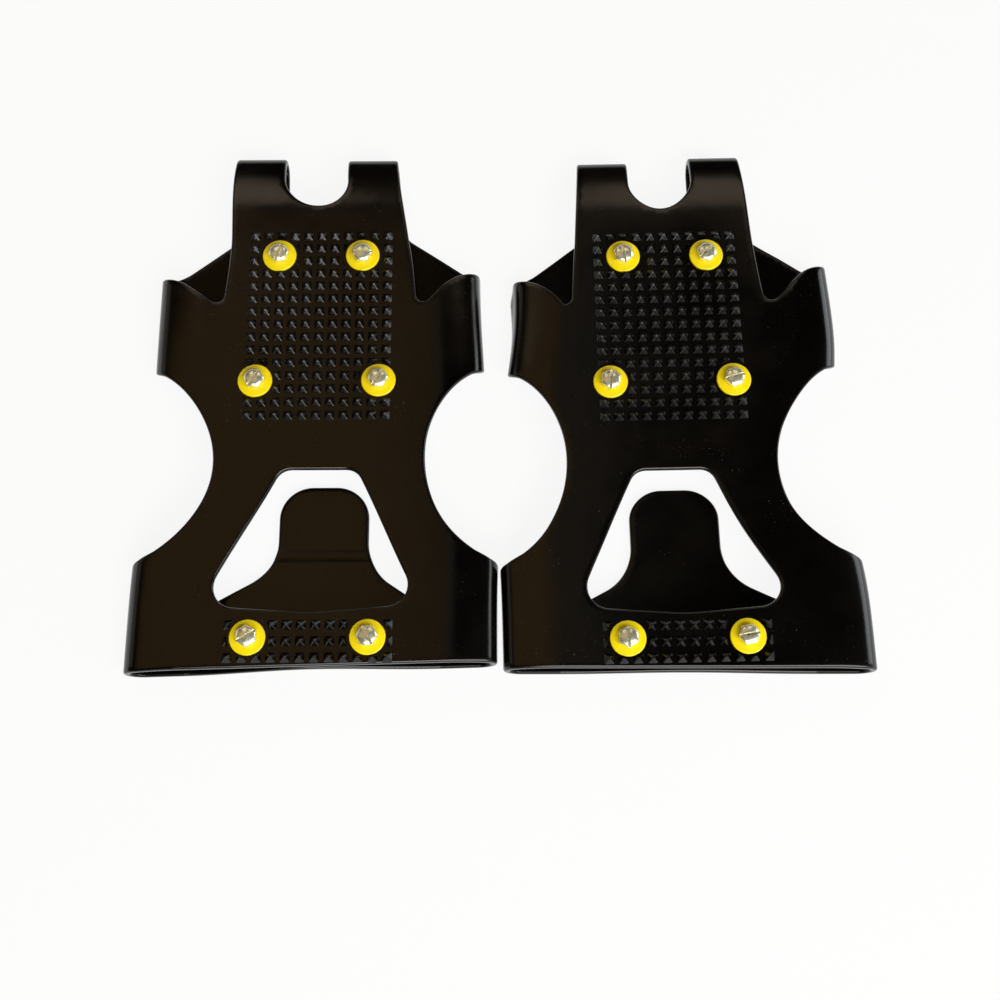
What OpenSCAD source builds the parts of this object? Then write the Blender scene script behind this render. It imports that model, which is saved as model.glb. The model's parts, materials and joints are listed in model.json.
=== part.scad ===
// Pair of slip-on ice cleats, lying soles up side by side.
// Each is a moulded rubber overshoe: a flat sole with a pyramid tread, two toe straps and a vamp band
// that loop round the front of a shoe, a heel band with a pull tab, and six screw-in studs.
// Frame of one cleat: x across, y towards the toe, z up, origin under the centre of the forefoot tread.

/* [Rubber sheet] */
// Thickness of the moulded rubber
sheet_t = 2.6; // [2.2:0.1:3]
// Height of the sole's upper face above the ground as the cleat lies
lie_h = 15; // [13:0.5:17]

/* [Forefoot] */
// Half width across the forefoot wings
fore_half = 61; // [58:0.5:63]
// Front corner of the wings, ahead of the tread centre
wing_front = 23.5; // [21:0.5:26]
// Bend in the wings' front edge, inwards from their sides
wing_bend_in = 7.5; // [6:0.5:10]
// Bend in the wings' front edge, ahead of the tread centre
wing_bend = 20.3; // [18:0.1:22]
// Crotch between strap and wing, distance from the centre line
crotch_x = 36.2; // [35:0.2:39]
// Crotch between strap and wing, ahead of the tread centre
crotch_y = 8.4; // [5:0.2:10]
// Fillet in the crotch
crotch_r = 3; // [2:0.5:5]

/* [Toe straps] */
// Where the straps start to bend down, ahead of the tread centre
toe_start = 48.5; // [46:0.5:49]
// Radius of the long first bend
toe_long_r = 63; // [50:1:70]
// Angle turned by the long first bend
toe_droop = 20; // [14:1:24]
// Half width over both straps at the root
strap_root_half = 33.5; // [32:0.5:35]
// Half width over both straps at the toe
strap_toe_half = 31; // [29:0.5:33]
// Height of the strap root, ahead of the tread centre
strap_root_y = 36; // [32:1:40]
// Half width of the notch between the straps
notch_half = 12; // [10:0.5:14]
// Bottom of the notch in the sole side of the straps
notch_y = 50.8; // [49.5:0.1:54]

/* [Waist] */
// Half width at the narrowest point
waist_half = 37; // [35:0.5:40]
// Radius of the side cut-outs
waist_r = 38.5; // [34:0.5:42]
// Narrowest point, behind the tread centre
waist_back = 52; // [50:0.5:55]

/* [Heel] */
// Half width across the heel wings
heel_half = 65.1; // [62:0.1:66]
// Rear edge, behind the tread centre
heel_back = 127; // [126.5:0.5:132]
// Front edge of the heel opening, behind the tread centre
hole_front = 54.8; // [52:0.2:58]
// Half width of the heel opening at its front edge
hole_front_half = 13.4; // [10:0.2:16]
// Rear corners of the heel opening, behind the tread centre
hole_back = 104.5; // [102:0.5:105]
// Half width of the heel opening at its rear corners
hole_back_half = 38.5; // [35:0.5:40]
// Middle of the rear edge of the heel opening, behind the tread centre
hole_mid = 107.3; // [106:0.1:107.5]
// Fillet at the front corners of the heel opening
hole_front_r = 6; // [3:0.5:7]
// Fillet at the rear corners of the heel opening
hole_back_r = 8; // [5:0.5:9]
// Radius of the bow in the rear edge of the heel opening
hole_mid_r = 60; // [40:1:70]

/* [Bands] */
// Front edge of the vamp band beside the straps, ahead of the tread centre
vamp_front = 42.5; // [40:0.5:44]
// Bottom of the notch in the vamp band, ahead of the tread centre
vamp_notch_y = 44; // [40:0.5:48]
// Rear edge of the vamp band at the centre line, ahead of the tread centre
vamp_back = 2; // [-4:0.5:8]
// Fillet where the vamp band meets the straps
vamp_front_r = 3; // [1:0.5:5]
// Radius of the bow in the rear edge of the vamp band
vamp_back_r = 90; // [70:1:110]
// Half width of the pull tab
tab_half = 16.3; // [14:0.1:18]
// Tip of the pull tab, behind the tread centre
tab_tip = 57.8; // [57:0.2:64]
// Corner radius of the pull tab
tab_r = 10; // [8:0.5:13]
// Crease where the pull tab bends, behind the tread centre
crease = 84; // [80:0.5:86]
// Root of the flare under the pull tab, behind the tread centre
bell_back = 93; // [91:0.5:97]
// Radius of the flare
bell_r = 12.5; // [8:0.5:15]
// Bend in the front edge of the heel band, distance from the centre line
band_half = 45; // [42:0.5:48]
// Bend in the front edge of the heel band, behind the tread centre
band_front = 103; // [99:0.5:105]
// Gap at the crease between band and tab
crease_gap = 0.3; // [0.2:0.1:0.5]

/* [Tread] */
// Distance between columns of pyramids
pitch = 5; // [4.6:0.1:5]
// Distance between rows of pyramids under the forefoot
fore_row_pitch = 5.15; // [4.6:0.05:5.2]
// Distance between rows of pyramids under the heel
heel_row_pitch = 5.7; // [4.6:0.1:5.7]
// Width of a pyramid's base
pyramid_w = 3.5; // [3.2:0.1:4.4]
// Height of a pyramid
pyramid_h = 2; // [1.2:0.1:2.6]
// Width of a pyramid's worn tip
tip_w = 0.4; // [0.2:0.1:0.8]
// Columns of pyramids under the forefoot
fore_cols = 11; // [9:1:11]
// Rows of pyramids under the forefoot
fore_rows = 15; // [13:1:15]
// Columns of pyramids under the heel
heel_cols = 12; // [10:1:12]
// Rows of pyramids under the heel
heel_rows = 3; // [2:1:3]
// Middle row under the forefoot, ahead of the tread centre
fore_tread = 1.7; // [0:0.1:2.5]
// Middle row under the heel, behind the tread centre
heel_tread = 117.3; // [117:0.1:117.7]
// Depth to which a tread pad is let into the sole
pad_t = 0.6; // [0.4:0.1:1]
// Rim of a tread pad round its pyramids
pad_rim = 0.4; // [0.2:0.1:0.6]
// Clear radius in the tread round each stud
clear_r = 7.5; // [7:0.1:8]

/* [Studs] */
// Toe studs, distance from the centre line
toe_stud_x = 15.6; // [14:0.2:18]
// Toe studs, ahead of the tread centre
toe_stud_y = 29.4; // [27:0.2:31]
// Ball studs, distance from the centre line
ball_stud_x = 22.5; // [20:0.5:25]
// Ball studs, behind the tread centre
ball_stud_back = 21; // [19:0.5:23]
// Heel studs, distance from the centre line
heel_stud_x = 20.7; // [18:0.1:23]
// Heel studs, behind the tread centre
heel_stud_back = 116; // [115:0.5:118]
// Diameter of a washer
washer_d = 12.6; // [11:0.1:13.4]
// Thickness of a washer
washer_t = 1.3; // [0.9:0.1:2]
// Diameter of a stud's shank
shank_d = 4; // [3.5:0.1:4.5]
// Radial running clearance round the shank
shank_fit = 0.06; // [0.04:0.01:0.1]
// Width of the hexagon head across its flats
head_af = 6.6; // [6:0.1:7]
// Height of the hexagon head above its collar
head_h = 2.6; // [2.2:0.1:3.6]
// Chamfer round the top of the head
head_chamfer = 0.5; // [0.2:0.1:0.8]
// Diameter of the bearing face under the head
collar_d = 6.4; // [5.6:0.1:6.6]
// Thickness of the bearing face
collar_t = 0.4; // [0.2:0.1:0.6]
// Width of the screwdriver slot
slot_w = 1; // [0.7:0.1:1.4]
// Depth of the screwdriver slot
slot_d = 1; // [0.7:0.1:1.4]
// Diameter of a backing nut's flange
nut_d = 12; // [10:0.5:13]
// Thickness of a backing nut's flange
nut_t = 1.2; // [1:0.1:1.6]
// Diameter of a backing nut's barrel
barrel_d = 6.4; // [6:0.1:7]

/* [Pair] */
// Gap between the two cleats
pair_gap = 0.6; // [0.6:0.1:20]
// Middle of the pair across
pair_x = -1.6; // [-5:0.1:5]
// Place of both tread centres along the pair
pair_y = 26.9; // [20:0.1:34]
// Turn of the left cleat
left_turn = 0.3; // [-0.5:0.1:0.5]
// Turn of the right cleat
right_turn = 1.2; // [0.8:0.1:1.5]

/* [Hidden] */
// Half of the angle in the corner of the flare
flare_angle = (90 + atan((band_front - bell_back) / (band_half - tab_half))) / 2;
// Radius of the flare, kept short of the crease
flare_r = min(bell_r, (bell_back - crease) * tan(flare_angle));
$fn = 64;
arc_steps = 14;
past = 2;
seam_step = 0.3;
fold_r = lie_h / 2;
fore_flat = fore_half - fold_r;
heel_flat = heel_half - fold_r;
under = lie_h - sheet_t;
// Just short of a half circle, so that the two fillets of the notch don't meet
notch_r = 0.98 * notch_half;

// The long toe bend runs into a tight one that just meets the ground
tight_r = (lie_h - toe_long_r * (1 - cos(toe_droop))) / (1 + cos(toe_droop));
toe_turn_y = toe_start + (toe_long_r - tight_r) * sin(toe_droop);
toe_end = toe_turn_y + tight_r;

// Each side cut-out is one arc that reaches out to the wing's side and runs on straight from there
waist_slope = asin((waist_half + waist_r - fore_half) / waist_r);
waist_x = waist_half + waist_r - waist_r / sin(waist_slope);
function waist_edge(x) = (x - waist_x) * tan(waist_slope);
wing_back = waist_edge(fore_half + past) - waist_back;
heel_front = -waist_back - waist_edge(heel_half + past);

// Half width over the straps at a distance ahead of the tread centre
strap_slope = (strap_toe_half - strap_root_half) / (toe_end - strap_root_y);
function strap_half(y) = strap_root_half + (y - strap_root_y) * strap_slope;

sides = ["left", "right"];
// The cleats are turned, so their heels stand further apart than their tread centres
heel_spread = -heel_front * (sin(right_turn) - sin(left_turn));
apart = max(fore_half, heel_half - heel_spread / 2) + pair_gap / 2;
origins = [[pair_x - apart, pair_y, 0], [pair_x + apart, pair_y, 0]];
turns = [left_turn, right_turn];
places = ["toe_left", "toe_right", "ball_left", "ball_right", "heel_left", "heel_right"];
fore_studs = [
    [-toe_stud_x, toe_stud_y], [toe_stud_x, toe_stud_y],
    [-ball_stud_x, -ball_stud_back], [ball_stud_x, -ball_stud_back]
];
heel_studs = [[-heel_stud_x, -heel_stud_back], [heel_stud_x, -heel_stud_back]];
studs = concat(fore_studs, heel_studs);
// Direction in which each screwdriver slot was left
slot_turns = [[70, 0, 55, 60, 30, 120], [100, 45, 85, 15, 90, 10]];

rubber_parts = ["sole", "forefoot_tread", "heel_tread", "vamp_band", "heel_band", "pull_tab"];
stud_parts = ["stud", "washer", "nut"];

// Outline helpers: a corner is [x, y, fillet radius]
function unit(v) = v / norm(v);
function xy(p) = [p[0], p[1]];
function fillet(before, at, after, r) =
    let (
        a = unit(before - at),
        b = unit(after - at),
        half = acos(a * b) / 2,
        centre = at + unit(a + b) * r / sin(half),
        first = at + a * r / tan(half) - centre,
        last = at + b * r / tan(half) - centre,
        start = atan2(first[1], first[0]),
        swing = atan2(last[1], last[0]) - start,
        sweep = swing > 180 ? swing - 360 : swing < -180 ? swing + 360 : swing
    )
    [for (k = [0:arc_steps]) let (a = start + sweep * k / arc_steps) centre + r * [cos(a), sin(a)]];
function rounded(corners) =
    let (n = len(corners))
    [
        for (i = [0:n - 1])
            let (before = corners[(i + n - 1) % n], at = corners[i], after = corners[(i + 1) % n])
            each at[2] > 0 ? fillet(xy(before), xy(at), xy(after), at[2]) : [xy(at)]
    ];
function mirrored(corners) =
    [for (i = [len(corners) - 1:-1:0]) let (c = corners[i]) [-c[0], c[1], c[2]]];
// Corners listed on the right side, then the same on the left; a last corner on the centre line is used once
function both_sides(corners) =
    let (n = len(corners), closed = corners[n - 1][0] == 0, left = mirrored(corners))
    concat(corners, closed ? [for (i = [1:n - 1]) left[i]] : left);

// Plan of the sole layer with its wings, straps and notch
module sole_plan() {
    polygon(rounded(both_sides([
        [notch_half, notch_y, notch_r],
        [notch_half, toe_end + past, 0],
        [strap_half(toe_end + past), toe_end + past, 0],
        [strap_root_half, strap_root_y, 0],
        [crotch_x, crotch_y, crotch_r],
        [fore_half - wing_bend_in, wing_bend, 0],
        [fore_half + past, wing_front, 0],
        [fore_half + past, wing_back, 0],
        [waist_x, -waist_back, waist_r],
        [heel_half + past, heel_front, 0],
        [heel_half + past, -heel_back, 0]
    ])));
}

// Plan of the opening ahead of the heel
module hole_plan() {
    polygon(rounded(both_sides([
        [hole_front_half, -hole_front, hole_front_r],
        [hole_back_half, -hole_back, hole_back_r],
        [0, -hole_mid, hole_mid_r]
    ])));
}

// Plan of the vamp band on the ground side, up to where the straps turn over
module vamp_plan() {
    polygon(rounded(both_sides([
        [notch_half, vamp_notch_y, notch_r],
        [notch_half, toe_turn_y, 0],
        [strap_half(toe_turn_y), toe_turn_y, 0],
        [strap_half(vamp_front), vamp_front, vamp_front_r],
        [fore_half, wing_front + seam_step, 0],
        [fore_half + past, wing_front + seam_step, 0],
        [fore_half + past, wing_back + seam_step, 0],
        [0, vamp_back, vamp_back_r]
    ])));
}

// Plan of the heel band on the ground side, with the flare up to the crease
module heel_band_plan() {
    polygon(rounded(both_sides([
        [tab_half, -crease, 0],
        [tab_half, -bell_back, flare_r],
        [band_half, -band_front, flare_r],
        [heel_half, heel_front + seam_step, 0],
        [heel_half + past, heel_front + seam_step, 0],
        [heel_half + past, -heel_back, 0]
    ])));
}

// Plan of the pull tab
module tab_plan() {
    polygon(rounded(both_sides([
        [tab_half, -tab_tip, tab_r],
        [tab_half, -crease + crease_gap, 0]
    ])));
}

// Section of a fold, a quarter ring at either side, on the sole side
module upper_fold_section(half) {
    for (side = [-1, 1])
        translate([side * (half - fold_r), fold_r])
            intersection() {
                difference() {
                    circle(fold_r);
                    circle(fold_r - sheet_t);
                }
                translate([side > 0 ? 0 : -fold_r - 1, 0]) square(fold_r + 1);
            }
}

// Section of a band on the ground side, with the lower half of both folds
module lower_band_section(half) {
    for (side = [-1, 1])
        translate([side * (half - fold_r), fold_r])
            intersection() {
                difference() {
                    circle(fold_r);
                    circle(fold_r - sheet_t);
                }
                translate([side > 0 ? 0 : -fold_r - 1, -fold_r - 1]) square(fold_r + 1);
            }
    translate([fold_r - half, 0]) square([2 * (half - fold_r), sheet_t]);
}

// Carries an xz section along y between two distances
module along_y(from, to) {
    translate([0, to, 0]) rotate([90, 0, 0]) linear_extrude(to - from) children();
}

// Carries a yz section along x, equally to both sides
module along_x(half) {
    translate([-half, 0, 0]) rotate([90, 0, 90]) linear_extrude(2 * half) children();
}

// Points of one toe bend line, offset inwards from the outer face
function toe_line(inset) = concat(
    [for (k = [0:arc_steps]) let (a = 90 - toe_droop * k / arc_steps)
        [toe_start + (toe_long_r - inset) * cos(a), lie_h - toe_long_r + (toe_long_r - inset) * sin(a)]],
    [for (k = [1:2 * arc_steps]) let (a = 90 - toe_droop - (180 - toe_droop) * k / (2 * arc_steps))
        [toe_turn_y + (tight_r - inset) * cos(a), tight_r + (tight_r - inset) * sin(a)]]
);

// Section of the straps where they bend over the toe
module toe_section() {
    inner = toe_line(sheet_t);
    polygon(concat(toe_line(0), [for (i = [len(inner) - 1:-1:0]) inner[i]]));
}

// Ridge profile whose crossing with another gives a pad of pyramids
module ridge_profile(count, step) {
    half = count * step / 2 + pad_rim;
    polygon(concat(
        [[half, 0], [half, -pad_t], [-half, -pad_t], [-half, 0]],
        [
            for (i = [0:count - 1])
                let (c = (i - (count - 1) / 2) * step)
                each [
                    [c - pyramid_w / 2, 0], [c - tip_w / 2, pyramid_h],
                    [c + tip_w / 2, pyramid_h], [c + pyramid_w / 2, 0]
                ]
        ]
    ));
}

// Cuts that keep the tread clear of the studs
module stud_clearings(spots) {
    for (p = spots)
        translate([p[0], p[1], lie_h - pad_t - past])
            cylinder(r = clear_r, h = pyramid_h + pad_t + 2 * past);
}

// Pad of pyramids, centred at a distance behind the tread centre
module tread_pad(cols, rows, row_step, back, spots) {
    half = rows * row_step / 2 + pad_rim;
    difference() {
        translate([0, -back, lie_h])
            intersection() {
                along_y(-half, half) ridge_profile(cols, pitch);
                along_x(cols * pitch / 2 + pad_rim) ridge_profile(rows, row_step);
            }
        stud_clearings(spots);
    }
}

// Pocket in the sole for such a pad
module pad_pocket(cols, rows, row_step, back, spots) {
    size = [cols * pitch + 2 * pad_rim, rows * row_step + 2 * pad_rim];
    translate([0, -back, lie_h - pad_t])
        linear_extrude(pad_t + past)
            difference() {
                square(size, center = true);
                for (p = spots) translate([p[0], p[1] + back]) circle(clear_r);
            }
}

// Flat of the sole, between the folds
module sole() {
    color("#1b1a19") difference() {
        translate([0, 0, under]) linear_extrude(sheet_t) difference() {
            intersection() {
                sole_plan();
                union() {
                    translate([-fore_flat, -waist_back]) square([2 * fore_flat, waist_back + toe_start]);
                    translate([-heel_flat, -heel_back]) square([2 * heel_flat, heel_back - waist_back]);
                }
            }
            hole_plan();
        }
        pad_pocket(fore_cols, fore_rows, fore_row_pitch, -fore_tread, fore_studs);
        pad_pocket(heel_cols, heel_rows, heel_row_pitch, heel_tread, heel_studs);
        for (p = studs)
            translate([p[0], p[1], under - past])
                cylinder(d = barrel_d + 2 * shank_fit, h = sheet_t + 2 * past);
    }
}

module forefoot_tread() {
    color("#201f1e") tread_pad(fore_cols, fore_rows, fore_row_pitch, -fore_tread, fore_studs);
}

module heel_tread() {
    color("#201f1e") tread_pad(heel_cols, heel_rows, heel_row_pitch, heel_tread, heel_studs);
}

// Vamp band with the side folds and the toe straps that join it to the sole
module vamp_band() {
    color("#1b1a19") {
        intersection() {
            along_y(-waist_back, wing_front + past) upper_fold_section(fore_half);
            linear_extrude(lie_h + past) sole_plan();
        }
        intersection() {
            along_y(wing_back - past, toe_turn_y) lower_band_section(fore_half);
            translate([0, 0, -past]) linear_extrude(lie_h + past) vamp_plan();
        }
        intersection() {
            along_x(strap_root_half) toe_section();
            translate([0, 0, -past]) linear_extrude(lie_h + 2 * past) sole_plan();
        }
    }
}

// Heel band with the side folds that join it to the sole
module heel_band() {
    color("#1b1a19") {
        intersection() {
            along_y(-heel_back, -waist_back) upper_fold_section(heel_half);
            linear_extrude(lie_h + past) sole_plan();
        }
        intersection() {
            along_y(-heel_back, -crease) lower_band_section(heel_half);
            translate([0, 0, -past]) linear_extrude(lie_h + past) heel_band_plan();
        }
    }
}

module pull_tab() {
    color("#1b1a19") linear_extrude(sheet_t) tab_plan();
}

// Slotted hexagon stud on a bearing face, its shank reaching through the washer, the sole and the nut
module stud(turn) {
    shank_l = washer_t + sheet_t + nut_t;
    across = head_af / cos(30);
    color("#c9ccc4") difference() {
        union() {
            translate([0, 0, -shank_l]) cylinder(d = shank_d, h = shank_l + collar_t / 2);
            cylinder(d = collar_d, h = collar_t + past);
            rotate([0, 0, turn]) intersection() {
                translate([0, 0, collar_t]) cylinder(d = across, h = head_h, $fn = 6);
                union() {
                    cylinder(d = across + past, h = collar_t + head_h - head_chamfer);
                    translate([0, 0, collar_t + head_h - head_chamfer])
                        cylinder(d1 = across, d2 = across - 4 * head_chamfer, h = head_chamfer);
                }
            }
        }
        rotate([0, 0, turn])
            translate([-across / 2, -slot_w / 2, collar_t + head_h - slot_d])
                cube([across, slot_w, slot_d + past]);
    }
}

// Washer with a softly rounded rim
module washer() {
    rim = washer_t / 3;
    bore = shank_d / 2 + shank_fit;
    color("#f2e21c") rotate_extrude() {
        translate([bore, 0]) square([washer_d / 2 - rim - bore, washer_t]);
        translate([bore, 0]) square([washer_d / 2 - bore, washer_t - rim]);
        translate([washer_d / 2 - rim, washer_t - rim]) circle(rim);
    }
}

// Flanged backing nut on the foot side
module nut() {
    color("#b4b8b0") difference() {
        union() {
            cylinder(d = nut_d, h = nut_t);
            cylinder(d = barrel_d, h = nut_t + sheet_t);
        }
        translate([0, 0, -past]) cylinder(r = shank_d / 2 + shank_fit, h = nut_t + sheet_t + 2 * past);
    }
}

module rubber(part) {
    if (part == "sole") sole();
    if (part == "forefoot_tread") forefoot_tread();
    if (part == "heel_tread") heel_tread();
    if (part == "vamp_band") vamp_band();
    if (part == "heel_band") heel_band();
    if (part == "pull_tab") pull_tab();
}

module hardware(part, turn) {
    if (part == "stud") translate([0, 0, lie_h + washer_t]) stud(turn);
    if (part == "washer") translate([0, 0, lie_h]) washer();
    if (part == "nut") translate([0, 0, under - nut_t]) nut();
}

for (s = [0:1]) translate(origins[s]) rotate([0, 0, turns[s]]) {
    for (part = rubber_parts)
        rubber(part);
    for (i = [0:len(places) - 1], part = stud_parts)
        translate([studs[i][0], studs[i][1], 0]) hardware(part, slot_turns[s][i]);
}
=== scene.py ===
import json
import math
from functools import partial

import bmesh
import bpy
import numpy as np
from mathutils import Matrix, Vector
from mathutils.geometry import delaunay_2d_cdt

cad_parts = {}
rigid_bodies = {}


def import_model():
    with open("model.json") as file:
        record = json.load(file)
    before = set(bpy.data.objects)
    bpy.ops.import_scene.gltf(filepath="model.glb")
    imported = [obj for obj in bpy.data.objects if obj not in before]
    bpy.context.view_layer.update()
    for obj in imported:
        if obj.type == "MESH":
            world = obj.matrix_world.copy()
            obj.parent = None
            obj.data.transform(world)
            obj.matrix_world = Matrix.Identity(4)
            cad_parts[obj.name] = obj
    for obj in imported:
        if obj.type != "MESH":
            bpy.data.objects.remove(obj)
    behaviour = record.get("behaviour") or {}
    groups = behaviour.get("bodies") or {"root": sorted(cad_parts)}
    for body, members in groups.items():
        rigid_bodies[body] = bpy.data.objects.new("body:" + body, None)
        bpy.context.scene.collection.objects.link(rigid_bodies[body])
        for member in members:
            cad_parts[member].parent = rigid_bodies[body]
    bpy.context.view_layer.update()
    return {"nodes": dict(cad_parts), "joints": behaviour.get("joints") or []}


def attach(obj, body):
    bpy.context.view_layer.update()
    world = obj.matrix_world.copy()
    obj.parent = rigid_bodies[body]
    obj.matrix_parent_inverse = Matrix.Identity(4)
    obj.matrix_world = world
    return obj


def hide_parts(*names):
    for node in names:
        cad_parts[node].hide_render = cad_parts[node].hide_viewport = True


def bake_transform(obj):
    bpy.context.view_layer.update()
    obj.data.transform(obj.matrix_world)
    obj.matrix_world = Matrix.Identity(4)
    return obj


for leftover in list(bpy.data.objects):
    bpy.data.objects.remove(leftover)
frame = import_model()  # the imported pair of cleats
joints = {joint["name"]: joint for joint in frame["joints"]}
sides = ("left", "right")
print("frame:", len(frame["nodes"]), "solids")

# Lengths of pieces are millimetres in one cleat's own frame: x across, y to the toe, z up. Those of the
# floor, the lights and the camera are metres.
perMetre = 1000
studPlaces = {"toe_left": (-15.6, 29.4), "toe_right": (15.6, 29.4), "ball_left": (-22.5, -21.0),
              "ball_right": (22.5, -21.0), "heel_left": (-20.7, -116.0), "heel_right": (20.7, -116.0)}
rubberSheet = {
    "thickness": 2.6,
    "lieHeight": 15.0,  # outer face of the sole above the ground
    "edgeRadius": 0.9, "edgeSteps": 4,  # rounding of every moulded edge
    "spacing": 1.5,  # distance between mesh points
    "rowStep": 0.866, "rimClear": 0.62,  # distance between rows, and of the grid from the edges, in spacings
    "foldBend": {"longRadius": 50.0, "droop": 18.0},  # the sides, rolling under
    "toeBend": {"longRadius": 63.0, "droop": 20.0},  # the straps, rolling over the toe
    "foreFold": 41.1, "heelFold": 45.2, "toeFold": 48.5,  # where the bends start
    "waistY": -52.0,  # behind it the sides bend at the heel fold
    "longest": 240.0, "samples": 24001,  # unrolled length that is searched, and its samples
    "seamMerge": 2e-5, "sharpAngle": 50.0,  # metres and degrees
}


# Puts a mesh, a light or a camera into the scene as an object at the origin
def added(name, data):
    made = bpy.data.objects.new(name, data)
    bpy.context.scene.collection.objects.link(made)
    return made


# Place of a cleat: the crease joint lies on its centre line and its axis is the cleat's own x direction
def cleatFrame(side):
    crease = joints[side + "_tab_flex"]
    across = np.array(crease["axis"][:2])
    along = np.array([-across[1], across[0]])
    origin = np.array(crease["pos_m"][:2]) - along * heelBand["creaseY"] / perMetre
    return origin, across, along


# A cleat's millimetres to metres in the shared frame: origin plus x times across plus y times along
def placed(side, points):
    origin, across, along = cleatFrame(side)
    flat = origin + points[:, :1] / perMetre * across + points[:, 1:2] / perMetre * along
    return np.column_stack([flat, points[:, 2] / perMetre])


# Bend line: straight to the fold, a long arc through the droop angle, a tight arc through the rest of the
# half turn, then straight back. Gives the reach, the height and the angle turned at each distance.
def bendLine(distance, fold, bend):
    height, droop, longR = rubberSheet["lieHeight"], math.radians(bend["droop"]), bend["longRadius"]
    tightR = (height - longR * (1 - math.cos(droop))) / (1 + math.cos(droop))
    past = distance - fold
    first = np.clip(past / longR, 0, droop)
    second = np.clip((past - longR * droop) / tightR, 0, math.pi - droop)
    back = np.maximum(past - longR * droop - tightR * (math.pi - droop), 0)
    reach = fold + np.minimum(past, 0) + longR * np.sin(first) - back
    reach = reach + tightR * (np.sin(droop + second) - math.sin(droop))
    drop = longR * (1 - np.cos(first)) + tightR * (math.cos(droop) - np.cos(droop + second))
    return reach, height - drop, first + second


# Unrolled distance of a place on the upper or the ground side, read off the bend line
def unrolled(place, fold, bend, under=False):
    distance = np.linspace(0, rubberSheet["longest"], rubberSheet["samples"])
    reach = bendLine(distance, fold, bend)[0]
    top = int(np.argmax(reach))
    if under:
        return float(np.interp(-place, -reach[top:], distance[top:]))
    return float(np.interp(place, reach[:top + 1], distance[:top + 1]))


# Fillet: the arc of the given radius that touches both edges at a corner
def cornerArc(before, at, after, radius, spacing):
    a, b = (before - at) / np.linalg.norm(before - at), (after - at) / np.linalg.norm(after - at)
    half = math.acos(np.clip(a @ b, -1, 1)) / 2
    straightOn = 1.57  # half the angle between edges that run on without a corner
    if radius <= 0 or half > straightOn:
        return at[None]
    middle = (a + b) / np.linalg.norm(a + b)
    centre = at + middle * radius / math.sin(half)
    start, stop = at + a * radius / math.tan(half) - centre, at + b * radius / math.tan(half) - centre
    begin = math.atan2(start[1], start[0])
    sweep = (math.atan2(stop[1], stop[0]) - begin + math.pi) % (2 * math.pi) - math.pi
    angle = begin + sweep * np.linspace(0, 1, max(3, int(abs(sweep) * radius / spacing) + 2))
    return centre + radius * np.column_stack([np.cos(angle), np.sin(angle)])


# Kinds of points on a loop; the last two are the free points just before and just after a seam
freeEdge, inSeam, seamStart, seamEnd = range(4)


# Loop round a flat piece: filleted corners joined by evenly divided edges; an edge marked as a seam stays
# open. Each point has the step inwards that offsets both its edges by one; at a seam it runs along the seam.
def tracedLoop(corners, rim, spacing):
    at = np.array([c[:2] for c in corners], float)
    seam = np.array([len(c) > 3 for c in corners])
    radius = np.array([c[2] for c in corners], float)
    arcs = [cornerArc(at[i - 1], at[i], at[(i + 1) % len(at)], radius[i], spacing) for i in range(len(at))]
    points, kind = [], []
    for i, arc in enumerate(arcs):
        step = arcs[(i + 1) % len(arcs)][0] - arc[-1]
        length = np.linalg.norm(step)
        trim = rim / length if seam[i] else 0
        count = max(1, int(round((1 - 2 * trim) * length / spacing)))
        share = trim + (1 - 2 * trim) * np.linspace(0, 1, count + 1)[1:-1]
        tags = np.full(len(arc), freeEdge)
        tags[0] = seamEnd if seam[i - 1] else freeEdge
        tags[-1] = seamStart if seam[i] else tags[-1]
        points += [arc, arc[-1] + share[:, None] * step]
        kind += [tags, np.full(len(share), inSeam if seam[i] else freeEdge)]
    points, kind = np.concatenate(points), np.concatenate(kind)
    ahead, behind = np.roll(points, -1, 0) - points, points - np.roll(points, 1, 0)
    ahead /= np.linalg.norm(ahead, axis=1)[:, None]
    behind /= np.linalg.norm(behind, axis=1)[:, None]
    left, right = np.column_stack([-behind[:, 1], behind[:, 0]]), np.column_stack([-ahead[:, 1], ahead[:, 0]])
    inward = (left + right) / (1 + np.sum(left * right, axis=1))[:, None]
    last, first = kind == seamStart, kind == seamEnd
    inward[last] = ahead[last] / np.sum(ahead * left, axis=1)[last, None]
    inward[first] = behind[first] / np.sum(behind * right, axis=1)[first, None]
    inward[kind == inSeam] = 0
    return points, inward, kind


# Even-odd rule: a point is inside when a ray along x crosses the loops an odd number of times
def insideLoops(points, loops):
    inside = np.zeros(len(points), bool)
    for loop in loops:
        a, b = loop, np.roll(loop, -1, 0)
        crosses = (a[:, 1] > points[:, 1:2]) != (b[:, 1] > points[:, 1:2])
        rise = np.where(a[:, 1] == b[:, 1], 1, b[:, 1] - a[:, 1])
        xCross = a[:, 0] + (points[:, 1:2] - a[:, 1]) / rise * (b[:, 0] - a[:, 0])
        inside ^= (np.sum(crosses & (xCross > points[:, :1]), axis=1) % 2).astype(bool)
    return inside


# Squared distance from each point to the nearest point of a border
def nearestSquare(points, border):
    return np.min(np.sum((points[:, None].astype(np.float32) - border) ** 2, axis=2), axis=1)


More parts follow.
